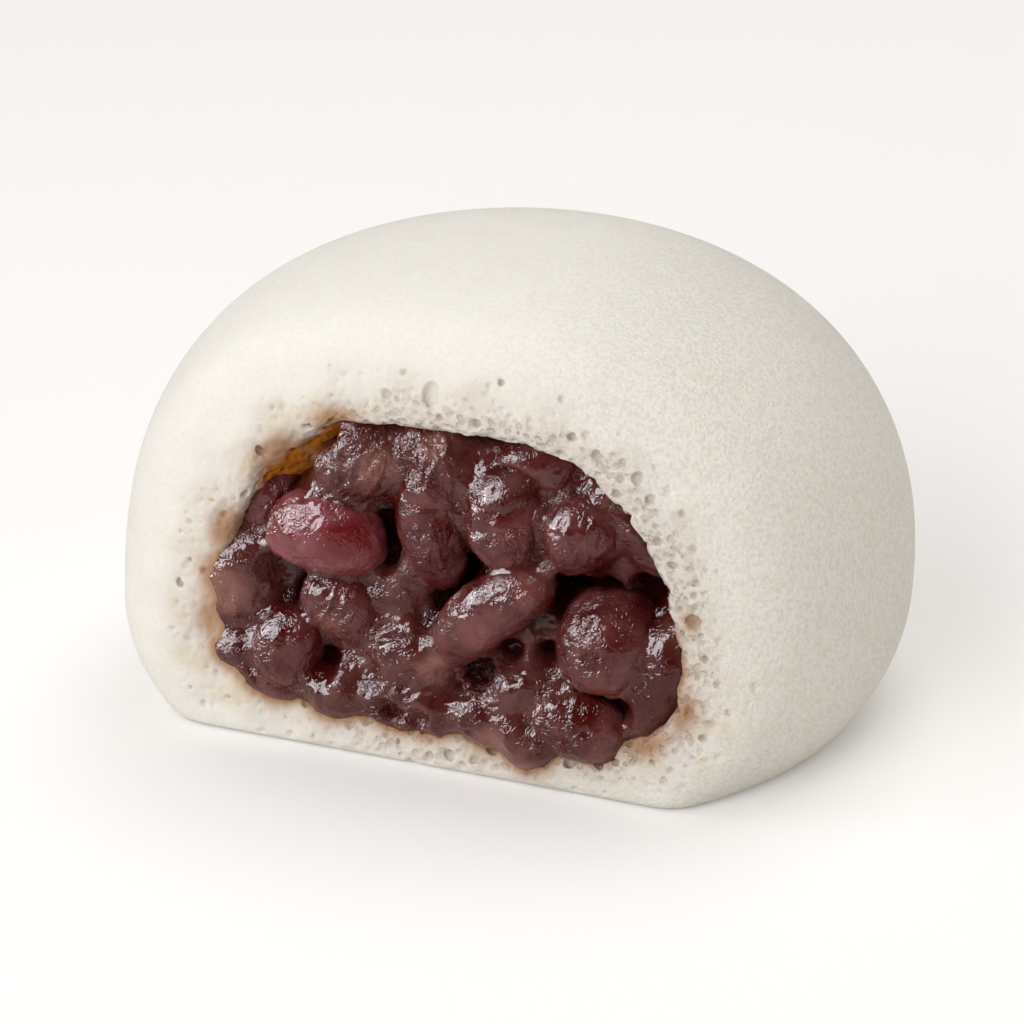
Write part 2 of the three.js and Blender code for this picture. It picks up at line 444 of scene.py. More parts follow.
# what the dough's material reads: pores for their painted shade, the strip by the lip, the calm left side and
# the dry right flank
crumbMarks = {
    "poreSmoothing": 14,
    "poreDepth": 0.2,
    "lipReach": 2.0,
    "calm": 0.2,
    "calmTo": (-14, 0),
    "dryFrom": (-5, 25),
    "cream": 0.3,
}
# lumps of the torn crumb, from coarse to fine: size, height
tornLumps = [("tornFolds", 3.4, 0.7), ("tornLumps", 1.5, 0.4)]
# burst cells of the crumb, with a thin wall between two cells: size, height, weights of the cell pattern
tornCells = [("tornWalls", 0.95, -0.85, {"weight_1": -1.0, "weight_2": 1.0})]
bubbles = {
    # radius from, radius to, how many are tried, how round the ball is
    "sizes": [(0.44, 0.66, 420, 2), (0.26, 0.42, 6500, 2)],
    "wall": 0.09,
    # how much denser they lie by the lip, and how far that reaches
    "crowded": 16,
    "crowdedReach": 1.5,
    "crowdedFrom": (-14, 4),
    "deepest": 5.0,
    # a row of burst ones notches the lip: round which part of it, and within which bounds each is drawn
    "lip": {
        "angles": (-0.45, math.pi + 0.5),
        "radius": (0.30, 0.62),
        "gap": (0.08, 0.3),
        "out": (-0.15, 0.3),
        "behind": (0.1, 0.9),
    },
    "sink": (-0.1, 0.5),
    "squash": 0.4,
    # the few large ones: x, z, radius, sink
    "large": [
        (-0.2, 36.0, 1.2, 0.1),
        (25.1, 18.5, 0.85, 0.1),
        (14.4, 34.2, 0.55, 0.2),
        (18.0, 32.0, 0.5, 0.2),
        (21.7, 25.5, 0.55, 0.2),
        (25.1, 20.9, 0.5, 0.2),
        (27.4, 9.4, 0.55, 0.2),
        (22.0, 4.6, 0.5, 0.2),
        (23.6, 4.2, 0.5, 0.2),
        (20.2, 2.9, 0.45, 0.2),
    ],
}
# where syrup has soaked the crumb: x, z, reach
soakedSpots = [(-16.5, 26.5, 3.2), (-12.0, 30.2, 3.4), (-22.2, 11.0, 1.8), (22.2, 7.0, 2.0), (19.8, 5.0, 1.6)]
tanSpots = [
    (25.6, 9.6, 3.0), (21.6, 5.4, 3.0), (16.0, 2.4, 2.4), (-23.0, 11.0, 3.0), (-20.6, 20.0, 2.6),
    (-15.5, 27.8, 3.4), (-10.0, 32.4, 3.0), (25.2, 18.5, 1.2),
]
creamSpots = [(-22, 8, 9), (-20, 22, 6), (-12, 33, 5), (26, 6, 5)]


def spotShares(points, spots):
    # 1 in the middle of each spot, fading out over its reach across the tear
    share = np.zeros(len(points))
    for x, z, reach in spots:
        away = np.hypot(points[:, 0] - x, points[:, 2] - z) / reach
        share = np.maximum(share, np.exp(-away * away))
    return share


def tornShare(points):
    # 1 on the torn crumb and in the hollow, fading to 0 on the skin
    (heightX, waveX, startX), (heightZ, waveZ) = crumbPatch["wobbleX"], crumbPatch["wobbleZ"]
    wobble = heightX * np.sin(points[:, 0] * waveX + startX) + heightZ * np.sin(points[:, 2] * waveZ)
    high = smoothStep(points[:, 2], *crumbPatch["highFrom"])
    near = crumbPatch["lowWidth"][0] * (1 - high) + crumbPatch["highWidth"][0] * high
    far = crumbPatch["lowWidth"][1] * (1 - high) + crumbPatch["highWidth"][1] * high
    beside = 1 - smoothStep(fromHollowEdge(points) + wobble, near, far)
    atTear = 1 - smoothStep(behindTear(points), *crumbPatch["depth"])
    inside = smoothStep(-outsideHollow(points), *crumbPatch["wall"])
    aboveFoot = smoothStep(points[:, 2], *crumbPatch["foot"])
    return np.maximum(beside * atTear, inside) * aboveFoot


def readFaces(mesh, field, width):
    values = np.empty(len(mesh.polygons) * width)
    mesh.polygons.foreach_get(field, values)
    return values.reshape(-1, width) if width > 1 else values


def ballShape(splits):
    bpy.ops.object.select_all(action="DESELECT")
    bpy.ops.mesh.primitive_ico_sphere_add(subdivisions=splits, radius=1)
    ball = bpy.context.object
    shape = pointsOf(ball), np.array([tuple(face.vertices) for face in ball.data.polygons])
    bpy.data.objects.remove(ball)
    return shape


def hiddenInside(points):
    sloped = spotShares(points, hollowForm["slopes"]) > doughMake["slopedFrom"]
    least = np.where(sloped, doughMake["slopedBehind"], doughMake["hiddenBehind"])
    return (outsideHollow(points) < doughMake["hiddenWall"]) & (-inFrontOfTear(points) > least)


def splitFaces(piece, chosen):
    editPoints(piece, chosen)
    bpy.ops.mesh.subdivide(number_cuts=1, smoothness=0)
    bpy.ops.object.mode_set(mode="OBJECT")


def onMouth(angle, out):
    # walks outwards on the tear until it leaves the hollow
    middleX, _, middleZ = hollowForm["centre"]
    reach = np.linspace(5, 34, 300)
    x, z = middleX + reach * math.cos(angle), middleZ + reach * math.sin(angle)
    points = np.column_stack((x, 0 * x, z))
    points[:, 1] = inFrontOfTear(points) + 0.3
    edge = reach[np.argmax(outsideHollow(points) > 0)] + out
    return middleX + edge * math.cos(angle), middleZ + edge * math.sin(angle)


def bubblePlaces(centres, normals, weights):
    # bubbles never meet, and each is sunk a little more or less into the torn face
    found, radii, roundness = [np.zeros(3)], [0.0], [1]
    for x, z, radius, sink in bubbles["large"]:
        face = int(np.argmin(np.hypot(centres[:, 0] - x, centres[:, 2] - z) + 10 * (weights == 0)))
        found.append(centres[face] - normals[face] * sink * radius)
        radii.append(radius)
        roundness.append(3)
    angle, lastAngle = bubbles["lip"]["angles"]
    while angle < lastAngle:
        radius = chance.uniform(*bubbles["lip"]["radius"])
        x, z = onMouth(angle, chance.uniform(*bubbles["lip"]["out"]))
        tornY = inFrontOfTear(np.array([(x, 0, z)]))[0]
        found.append(np.array((x, tornY + chance.uniform(*bubbles["lip"]["behind"]), z)))
        radii.append(radius)
        roundness.append(2)
        gap = chance.uniform(*bubbles["lip"]["gap"])
        angle += (2 * radius + gap) / math.hypot(x, z - hollowForm["centre"][2])
    for low, high, tries, splits in bubbles["sizes"]:
        for face in chance.choice(len(centres), tries, p=weights):
            radius = chance.uniform(low, high)
            centre = centres[face] - normals[face] * chance.uniform(*bubbles["sink"]) * radius
            centre = centre + chance.normal(0, 0.1, 3)
            away = np.linalg.norm(np.array(found) - centre, axis=1)
            if np.all(away > np.array(radii) + radius + bubbles["wall"]):
                found.append(centre)
                radii.append(radius)
                roundness.append(splits)
    return found[1:], radii[1:], roundness[1:]


def bubbleCutter(blank):
    centres, normals = local(readFaces(blank.data, "center", 3)), readFaces(blank.data, "normal", 3)
    near = (behindTear(centres) < bubbles["deepest"]) & (outsideHollow(centres) > -0.06)
    byLip = np.exp(-np.maximum(fromHollowEdge(centres), 0) / bubbles["crowdedReach"])
    crowd = 1 + bubbles["crowded"] * byLip * smoothStep(centres[:, 0], *bubbles["crowdedFrom"])
    weights = readFaces(blank.data, "area", 1) * np.where(near, tornShare(centres), 0) * crowd
    weights /= weights.sum()
    shapes = {splits: ballShape(splits) for splits in (1, 2, 3)}
    found, radii, roundness = bubblePlaces(centres, normals, weights)
    allPoints, allFaces, total = [], [], 0
    for centre, radius, splits in zip(found, radii, roundness):
        shape, faces = shapes[splits]
        turn = np.array(Matrix.Rotation(chance.uniform(0, math.tau), 3, Vector(chance.normal(0, 1, 3))))
        stretch = 1 + chance.uniform(-bubbles["squash"], 0.1, 3)
        allPoints.append(placed(centre + (shape * stretch * radius) @ turn))
        allFaces.append(faces + total)
        total += len(shape)
    cutterMesh = bpy.data.meshes.new("bubbles")
    cutterMesh.from_pydata(np.vstack(allPoints).tolist(), [], np.vstack(allFaces).tolist())
    cutter = bpy.data.objects.new("bubbles", cutterMesh)
    bpy.context.collection.objects.link(cutter)
    print("bubbles", len(radii))
    return cutter


def sunkDepths(piece, iterations):
    # how far each point lies below a much smoothed copy of its surface, in millimetres
    before, normals = pointsOf(piece), normalsOf(piece)
    soft = piece.copy()
    soft.data = piece.data.copy()
    bpy.context.collection.objects.link(soft)
    finishWith(soft, "SMOOTH", factor=1.0, iterations=iterations)
    sunk = ((pointsOf(soft) - before) * normals).sum(axis=1) / mm
    bpy.data.objects.remove(soft)
    return sunk


def makeDough():
    settings = doughMake
    crowding = settings["crowding"]
    dough = blownUpBall("dough_torn", settings["ballSplits"], settings["middle"], crowding, outsideDough)
    middle = np.array(hollowForm["centre"])
    cutAway(dough, blownUpBall("hollow", settings["hollowSplits"], middle, crowding, outsideHollow))
    finishWith(dough, "REMESH", mode="VOXEL", voxel_size=settings["blankVoxel"] * mm)
    finishWith(dough, "SMOOTH", factor=0.5, iterations=settings["blankSmoothing"])
    print("dough blank made")
    weighPoints(dough, "torn", tornShare(local(pointsOf(dough))))
    for name, size, height in tornLumps:
        roughen(dough, roughTexture(name, "CLOUDS", size, noise_depth=1), height, vertex_group="torn")
    dough.vertex_groups.clear()
    finishWith(dough, "REMESH", mode="VOXEL", voxel_size=settings["cellVoxel"] * mm)
    weighPoints(dough, "torn", tornShare(local(pointsOf(dough))))
    for name, size, height, weights in tornCells:
        roughen(dough, roughTexture(name, "VORONOI", size, **weights), height, vertex_group="torn")
    dough.vertex_groups.clear()
    cutAway(dough, bubbleCutter(dough))
    finishWith(dough, "REMESH", mode="VOXEL", voxel_size=settings["fineVoxel"] * mm)
    print("crumb carved", len(dough.data.polygons))
    points = local(pointsOf(dough))
    thinOut(dough, hiddenInside(points), settings["deepTriangles"])
    points = local(pointsOf(dough))
    skin = tornShare(points) < settings["skinBelow"]
    thinOut(dough, skin & ~hiddenInside(points), settings["skinTriangles"])
    print("skin thinned", len(dough.data.polygons))
    points = local(pointsOf(dough))
    splitFaces(dough, (tornShare(points) >= settings["splitFrom"]) & ~hiddenInside(points))
    points = local(pointsOf(dough))
    weighPoints(dough, "torn", tornShare(points))
    finishWith(dough, "SMOOTH", factor=0.4, iterations=1, vertex_group="torn")
    dough.vertex_groups.clear()
    points = local(pointsOf(dough))
    crumb = tornShare(points) >= settings["skinBelow"]
    thinOut(dough, crumb & ~hiddenInside(points), settings["tornTriangles"])
    points = local(pointsOf(dough))
    torn = tornShare(points)
    keepOnPoints(dough, "torn", torn)
    marks = crumbMarks
    # painted shade: the deeper a pore sinks below the smoothed crumb, the darker its colour
    shadedPores = sunkDepths(dough, marks["poreSmoothing"]) / marks["poreDepth"]
    keepOnPoints(dough, "poreShade", np.clip(shadedPores, 0, 1) * torn)
    foamy = marks["calm"] + (1 - marks["calm"]) * smoothStep(points[:, 0], *marks["calmTo"])
    byLip = np.exp(-np.maximum(fromHollowEdge(points), 0) / marks["lipReach"])
    keepOnPoints(dough, "lip", byLip * torn * foamy)
    keepOnPoints(dough, "dry", smoothStep(points[:, 0], *marks["dryFrom"]))
    keepOnPoints(dough, "cream", np.clip(marks["cream"] + spotShares(points, creamSpots), 0, 1))
    shadeSmooth(dough)
    report(dough)
    return dough


# syrup in the crumb: how far from the paste and from the lip it fades, and how it starts behind the tear
stainMake = {
    "near": 5,
    "deep": 12,
    "touch": 0.1,
    "fade": 0.75,
    "lipFade": 1.6,
    "soak": 1.6,
    "soakFrom": (0.4, 1.6),
}


def stainDough(dough, paste):
    doughPoints = pointsOf(dough)
    points = local(doughPoints)
    edge = fromHollowEdge(points)
    pasteTree = surfaceTree(paste)
    stain = np.zeros(len(points))
    closeBy = (edge < stainMake["near"]) & (behindTear(points) < stainMake["deep"])
    away = np.array([pasteTree.find_nearest(point)[3] for point in doughPoints[closeBy]]) / mm
    stain[closeBy] = np.exp(-np.maximum(away - stainMake["touch"], 0) / stainMake["fade"])
    byLip = np.exp(-np.maximum(edge, 0) / stainMake["lipFade"])
    keepOnPoints(dough, "stain", np.maximum(stain, spotShares(points, tanSpots) * byLip))
    soaked = np.clip(stainMake["soak"] * spotShares(points, soakedSpots), 0, 1)
    keepOnPoints(dough, "soaked", soaked * smoothStep(-inFrontOfTear(points), *stainMake["soakFrom"]))


beanNodes = sorted(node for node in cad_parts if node.startswith("bean_") and node != "bean_paste")

pasteMake = {
    "swell": 1.3,
    "beanInset": 0.35,
    "voxel": 0.34,
    "smoothing": 5,
    "fineVoxel": 0.18,
    "fineSmoothing": 3,
    "triangles": 188000,
    # what lies out of sight behind or outside the hollow is kept coarse, and relief fades out before it
    "deepTriangles": 9000,
    "deepBehind": 12,
    "deepOutside": 0.12,
    "shownBehind": (9, 12),
    "reliefBehind": (7, 10),
    "pushedBehind": (8, 11),
    # how many rounds of smoothing find its dents, and how deep a full dent is, for the painted shade in them
    "dentShade": (60, 0.9),
}
# soft masses between the beans: x, z, how far out, length, height, depth, tilt
pasteSmears = [
    (-0.4, 28.4, -4.4, 9.5, 6.5, 7, -38),
    (-20.8, 14.0, -3.6, 10, 8, 6.5, 82),
    (22.2, 12.6, -3.4, 10, 5.6, 7, 76),
    (9.4, 3.0, -0.4, 3.4, 2.4, 2.8, -32),
]
# folded skin: x, z, reach, slant, from fold to fold, height
pasteFolds = [
    (-7.4, 28.4, 4.2, 34, 1.2, 0.34),
    (-1.4, 30.0, 3.6, 20, 1.2, 0.26),
    (0.6, 25.4, 3.4, 12, 1.2, 0.24),
    (-20.8, 14.0, 4.0, 20, 1.1, 0.08),
    (-14.0, 10.0, 3.4, 40, 1.2, 0.16),
    (-3.0, 5.2, 4.4, 72, 1.0, 0.22),
    (4.6, 9.0, 3.8, 50, 1.1, 0.22),
    (-5.0, 11.6, 3.6, 60, 1.2, 0.2),
    (11.0, 27.0, 4.0, 10, 1.2, 0.2),
    (-6.8, 29.0, 4.4, 20, 0.62, 0.17),
    (-0.8, 30.2, 3.6, 10, 0.62, 0.15),
    (-3.0, 5.2, 4.2, 60, 0.62, 0.15),
    (4.8, 9.4, 3.6, 40, 0.62, 0.15),
]
beanFolds = [
    (-9.8, 14.4, 3.0, 24, 1.2, 0.24),
    (-11.8, 22.6, 3.0, 34, 1.0, 0.08),
    (15.0, 24.6, 2.4, 5, 1.0, 0.16),
    (9.6, 19.4, 3.0, 38, 1.0, 0.14),
    (4.4, 16.0, 3.0, 38, 1.0, 0.12),
    (1.0, 21.0, 3.4, 8, 1.2, 0.22),
    (13.0, 7.4, 3.0, -20, 1.1, 0.2),
    (14.4, 16.6, 2.6, -10, 1.2, 0.14),
    (-16.4, 22.6, 3.0, 20, 1.0, 0.16),
    (-15.2, 9.0, 3.0, 30, 1.1, 0.12),
    (8.0, 25.6, 2.8, 5, 1.1, 0.1),
    (0.8, 21.4, 3.4, 8, 0.62, 0.15),
    (-9.8, 13.6, 2.8, 30, 0.62, 0.13),
    (13.6, 6.8, 3.0, -20, 0.62, 0.13),
]
# how far a bean's top leans back for each millimetre up
beanLeans = {"bean_07": 0.26}
# deep places between the beans: x, z, reach, depth
pasteHollows = [
    (-16.9, 25.4, 1.5, 5),
    (-14.4, 27.8, 1.9, 8),
    (-11.6, 30.4, 1.6, 8),
    (-4.8, 21.6, 1.5, 4.5),
    (-5.2, 19.2, 1.2, 3.5),
    (1.8, 18.3, 1.5, 5.5),
    (0.4, 15.6, 1.2, 3.5),
    (12.8, 18.2, 1.8, 5.5),
    (16.2, 18.0, 1.4, 4),
    (19.6, 19.2, 1.5, 3.5),
    (10.8, 12.6, 1.1, 3),
    (15.4, 8.9, 1.4, 3.5),
    (18.2, 8.6, 1.2, 3),
    (-10.7, 8.2, 1.3, 3.5),
    (-13.6, 14.0, 1.1, 3),
    (-3.4, 5.2, 1.3, 1.9),
    (-1.0, 5.0, 1.2, 1.6),
    (7.6, 12.4, 1.4, 2.2),
    (3.6, 32.6, 1.5, 5),
    (7.6, 32.4, 1.5, 5),
    (11.4, 31.8, 1.4, 4.5),
    (15.0, 30.2, 1.1, 3),
]
# relief: size, height, the noise that it follows
pasteRelief = [
    ("pasteSwells", 3.0, 0.9, "ORIGINAL_PERLIN"),
    ("pasteCreases", 1.5, -0.26, "VORONOI_F2_F1"),
    ("pasteSkin", 0.8, 0.08, "IMPROVED_PERLIN"),
]
beanMake = {"voxel": 0.17, "smoothing": 3, "swell": 0.1, "dentShade": (40, 1.2)}
beanRelief = [
    ("beanDents", 2.8, 0.7, "ORIGINAL_PERLIN"),
    ("beanCreases", 1.4, -0.18, "VORONOI_F2_F1"),
    ("beanWrinkles", 0.7, 0.06, "IMPROVED_PERLIN"),
]
# deep red patches: x, z, reach
rubySpots = [
    (-7.6, 21.6, 2.5), (-4.2, 25.0, 2.0), (-2.2, 27.4, 1.3), (1.2, 23.2, 1.2), (0.4, 17.8, 1.6),
    (11.8, 18.0, 1.4), (16.4, 14.2, 1.3), (15.5, 9.0, 2.0), (14.6, 5.2, 1.6), (-4.6, 5.6, 1.8),
    (-15.4, 11.9, 2.2), (-20.6, 6.8, 1.5), (-10.8, 7.4, 1.8), (15.4, 21.4, 1.8), (-15.4, 22.4, 2.0),
    (-0.3, 19.9, 1.8), (21.6, 11.0, 2.6), (20.4, 18.6, 2.2), (22.4, 13.4, 2.4),
]
# where the skin is crinkled most: x, z, reach
crinkledSpots = [
    (-7.0, 28.6, 4.2), (-1.5, 30.0, 3.4), (0.8, 21.6, 3.4), (-9.8, 13.2, 2.6), (5.0, 9.6, 3.4),
    (-3.0, 5.4, 3.2), (13.6, 6.4, 2.6), (9.4, 23.4, 2.4),
]
# pale ones, where the skins have come off: x, z, reach
paleSpots = [
    (9.0, 0.9, 3.4), (0.9, 10.2, 2.0), (5.6, 15.2, 2.4), (10.2, 19.6, 1.6), (17.6, 10.6, 1.8),
    (-20.8, 14.2, 3.0), (-10.4, 1.9, 1.6), (-4.2, 2.2, 1.6), (-0.4, 30.8, 1.4), (-9.9, 12.6, 1.8),
    (6.8, 4.2, 2.2), (-5.4, 28.5, 2.0),
]


# gaps between the beans, painted near-black as shade: the grid they are found on, how far round a point the
# front is taken from, the back, where the painted shade starts and is full, and its colour
gapShadeLook = {
    "step": 0.3,
    "field": 60,
    "corner": (30, 4),
    "reach": 2.4,
    "backstop": 6.0,
    "dark": (0.3, 2.6),
    "colour": (0.020, 0.0015, 0.0015, 1),
}


def swollen(piece, amount):
    finishWith(piece, "DISPLACE", strength=amount * mm, mid_level=0)


def addRelief(piece, relief, **masked):
    for name, size, height, basis in relief:
        roughen(piece, roughTexture(name, "CLOUDS", size, noise_depth=1, noise_basis=basis), height, **masked)


def blurred(rows, width):
    weights = np.exp(-(np.arange(-2 * width, 2 * width + 1) / width) ** 2)
    weights /= weights.sum()
    for _ in range(2):
        padded = np.pad(rows, ((2 * width, 2 * width), (0, 0)), mode="edge")
        rows = sum(weight * padded[start:start + len(rows)] for start, weight in enumerate(weights)).T
    return rows


def markGapShade(filling):
    # how far each point lies behind the front of the filling all round it, so that the gaps get painted shade
    step, width = gapShadeLook["step"], round(gapShadeLook["reach"] / gapShadeLook["step"])
    side = int(gapShadeLook["field"] / step)
    spread = [local(pointsOf(piece)) for piece in filling]
    cells = [((points[:, [0, 2]] + gapShadeLook["corner"]) / step).astype(int) for points in spread]
    cells = [np.clip(cell, 0, side - 1) for cell in cells]
    front = np.full((side, side), gapShadeLook["backstop"])
    for points, cell in zip(spread, cells):
        np.minimum.at(front, (cell[:, 0], cell[:, 1]), behindTear(points))
    allRound = blurred(front, width)
    for piece, points, cell in zip(filling, spread, cells):
        behind = behindTear(points) - allRound[cell[:, 0], cell[:, 1]]
        # the gap attribute is the share of painted shade at each point
        keepOnPoints(piece, "gap", smoothStep(behind, *gapShadeLook["dark"]))


def keepLooks(piece, iterations, hollowDepth):
    points = local(pointsOf(piece))
    # hollow: how far a point sinks below its smoothed surface, kept for the painted shade in the dents
    keepOnPoints(piece, "hollow", np.clip(sunkDepths(piece, iterations) / hollowDepth, 0, 1))
    keepOnPoints(piece, "ruby", spotShares(points, rubySpots))
    keepOnPoints(piece, "pale", spotShares(points, paleSpots))
    keepOnPoints(piece, "crinkled", spotShares(points, crinkledSpots))


def pushIn(piece, hollows):
    points = local(pointsOf(piece))
    front = 1 - smoothStep(behindTear(points), *pasteMake["pushedBehind"])
    for x, z, reach, depth in hollows:
        away = np.hypot(points[:, 0] - x, points[:, 2] - z) / reach
        points[:, 1] += depth * front * np.exp(-away ** 3)
    movePoints(piece, placed(points))


def foldSkin(piece, folds):
    # raises uneven folds of skin, strongest in the middle of each place
    points, normals = local(pointsOf(piece)), normalsOf(piece)
    x, y, z = points.T
    front = 1 - smoothStep(y - tearY(z), *pasteMake["reliefBehind"])
    raised = np.zeros(len(points))
    for middleX, middleZ, reach, slant, spacing, height in folds:
        turn = math.radians(slant)
        across = (x - middleX) * math.cos(turn) - (z - middleZ) * math.sin(turn)
        along = (x - middleX) * math.sin(turn) + (z - middleZ) * math.cos(turn)
        away = np.hypot(across, along) / reach
        near = np.nonzero((away < 1.5) & (front > 0))[0]
        places = np.column_stack((across, along / 2.4, y / 2))[near] / spacing + (middleX, middleZ, 0)
        ridges = [1 - min(3 * abs(noise.noise(Vector(place))), 1) for place in places]
        raised[near] += height * np.array(ridges) * np.exp(-away[near] ** 4) * front[near]
    movePoints(piece, placed(points + normals * raised[:, None]))


def smear(name, x, z, out, length, height, depth, tilt):
    bpy.ops.object.select_all(action="DESELECT")
    bpy.ops.mesh.primitive_ico_sphere_add(subdivisions=3, radius=0.5)
    mass = bpy.context.object
    mass.name = mass.data.name = name
    turn = np.array(Matrix.Rotation(math.radians(-tilt), 3, "Y"))
    shape = pointsOf(mass) * np.array((length, depth, height))
    movePoints(mass, placed(shape @ turn.T + np.array((x, tearY(z) - out, z))))
    return mass


def makePaste():
    settings = pasteMake
    parts = [copyOfNode("bean_paste", "bean_paste_chunky")]
    swollen(parts[0], settings["swell"])
    for node in beanNodes:
        parts.append(copyOfNode(node, "inner_" + node))
        swollen(parts[-1], settings["swell"] - settings["beanInset"])
    for index, place in enumerate(pasteSmears):
        parts.append(smear("smear_%d" % index, *place))
        swollen(parts[-1], settings["swell"])
    paste = joined(parts)
    finishWith(paste, "REMESH", mode="VOXEL", voxel_size=settings["voxel"] * mm)
    finishWith(paste, "SMOOTH", factor=0.5, iterations=settings["smoothing"])
    swollen(paste, -settings["swell"])
    pushIn(paste, pasteHollows)
    finishWith(paste, "REMESH", mode="VOXEL", voxel_size=settings["fineVoxel"] * mm)
    finishWith(paste, "SMOOTH", factor=0.5, iterations=settings["fineSmoothing"])
    points = local(pointsOf(paste))
    outside = outsideHollow(points) > settings["deepOutside"]
    thinOut(paste, (behindTear(points) > settings["deepBehind"]) | outside, settings["deepTriangles"])
    points = local(pointsOf(paste))
    inside = outsideHollow(points) < settings["deepOutside"]
    shown = (1 - smoothStep(behindTear(points), *settings["shownBehind"])) * inside
    thinOut(paste, shown > 0, settings["triangles"])
    points = local(pointsOf(paste))
    weighPoints(paste, "shown", 1 - smoothStep(behindTear(points), *settings["reliefBehind"]))
    addRelief(paste, pasteRelief, vertex_group="shown")
    paste.vertex_groups.clear()
    foldSkin(paste, pasteFolds)
    keepLooks(paste, *settings["dentShade"])
    shadeSmooth(paste)
    report(paste)
    return paste


def makeBean(node):
    bean = copyOfNode(node, node + "_whole")
    finishWith(bean, "SUBSURF", levels=2, render_levels=2)
    swollen(bean, beanMake["swell"])
    points = pointsOf(bean)
    points[:, 1] += beanLeans.get(node, 0) * (points[:, 2] - points[:, 2].mean())
    movePoints(bean, points)
    finishWith(bean, "REMESH", mode="VOXEL", voxel_size=beanMake["voxel"] * mm)
    finishWith(bean, "SMOOTH", factor=0.5, iterations=beanMake["smoothing"])
    addRelief(bean, beanRelief)
    foldSkin(bean, beanFolds)
    keepLooks(bean, *beanMake["dentShade"])
    shadeSmooth(bean)
    return bean


def newMaterial(name):
    material = bpy.data.materials.new(name)
    material.use_nodes = True
    return material


def node(material, kind, inputs=None, **settings):
    made = material.node_tree.nodes.new("ShaderNode" + kind)
    for name, value in settings.items():
        setattr(made, name, value)
    fill(material, made, inputs or {})
    return made


def fill(material, made, inputs):
    for name, value in inputs.items():
        if isinstance(value, bpy.types.NodeSocket):
            material.node_tree.links.new(value, made.inputs[name])
        else:
            made.inputs[name].default_value = value


def mixed(material, share, first, second):
    made = node(material, "Mix", data_type="RGBA")
    fill(material, made, {0: share, 6: first, 7: second})
    return made.outputs[2]


def between(material, value, low, high, toLow=0.0, toHigh=1.0):
    made = node(material, "MapRange", {"Value": value, "From Min": low, "From Max": high, "To Min": toLow,
                                       "To Max": toHigh}, clamp=True, interpolation_type="SMOOTHSTEP")
    return made.outputs["Result"]


def noiseOf(material, place, size, detail=2.0, **settings):
    inputs = {"Vector": place, "Scale": 1 / (size * mm), "Detail": detail}
    inputs.update(settings)
    return node(material, "TexNoise", inputs).outputs["Fac"]


def kept(material, name):
    return node(material, "Attribute", attribute_name=name).outputs["Fac"]


def shader(material):
    return material.node_tree.nodes["Principled BSDF"]


def reckoned(material, operation, *values):
    return node(material, "Math", dict(enumerate(values)), operation=operation).outputs["Value"]


def product(material, first, second):
    return reckoned(material, "MULTIPLY", first, second)


def pushedAbout(material, place, size, shift):
    # the place, moved a little by a soft noise
    push = node(material, "TexNoise", {"Vector": place, "Scale": 1 / (size * mm), "Detail": 1.0})
    shifts = (shift * mm, shift * mm, shift * mm)
    inputs = {0: push.outputs["Color"], 1: shifts, 2: place}
    return node(material, "VectorMath", inputs, operation="MULTIPLY_ADD").outputs["Vector"]


def bumped(material, height, strength, distance, under=None, **settings):
    inputs = {"Height": height, "Strength": strength, "Distance": distance * mm}
    if under is not None:
        inputs["Normal"] = under
    return node(material, "Bump", inputs, **settings).outputs["Normal"]


doughLook = {
    "skin": (0.87, 0.85, 0.80, 1),
    "skinCream": (0.835, 0.79, 0.70, 1),
    "specks": (0.78, 0.75, 0.69, 1),
    "crumb": (0.79, 0.755, 0.705, 1),
    "crumbCream": (0.77, 0.705, 0.59, 1),
    "byLip": (0.65, 0.575, 0.50, 1),
    "shadedPits": (0.54, 0.475, 0.405, 1),
    "shadedPores": (0.50, 0.43, 0.35, 1),
    "stain": (0.44, 0.245, 0.135, 1),
    "soaked": (0.42, 0.145, 0.014, 1),
    # sizes of the patterns in millimetres
    "mottleSize": 3.2,
    "speckSize": 0.4,
    "creamSize": 2.6,
    "foamSize": 0.72,
    "foamPatchSize": 1.3,
    "fibreSize": 0.3,
    "grainSize": 0.12,
}


def skinColour(material, place, dry):
    mottle = between(material, noiseOf(material, place, doughLook["mottleSize"], 2), 0.48, 0.75, 0, 0.45)
    skin = mixed(material, mottle, doughLook["skin"], doughLook["skinCream"])
    specks = between(material, noiseOf(material, place, doughLook["speckSize"], 3), 0.42, 0.64)
    speckShare = product(material, specks, between(material, dry, 0, 1, 0.3, 0.95))
    return mixed(material, speckShare, skin, doughLook["specks"])


def foamPits(material, place, torn, lip):
    # small round pits of the crumb, deepest by the lip; the same mask bumps them in and paints shade into
    # them
    bent = pushedAbout(material, place, 0.7, 0.3)
    cells = node(material, "TexVoronoi", {"Vector": bent, "Scale": 1 / (doughLook["foamSize"] * mm)})
    shadedPits = between(material, cells.outputs["Distance"], 0.22, 0.58, 1, 0)
    shadedPits = product(material, shadedPits, between(material, lip, 0.05, 0.6, 0.15, 1.0))
    shadedPits = product(material, shadedPits, torn)
    patches = noiseOf(material, place, doughLook["foamPatchSize"], 1)
    return product(material, shadedPits, between(material, patches, 0.25, 0.52))


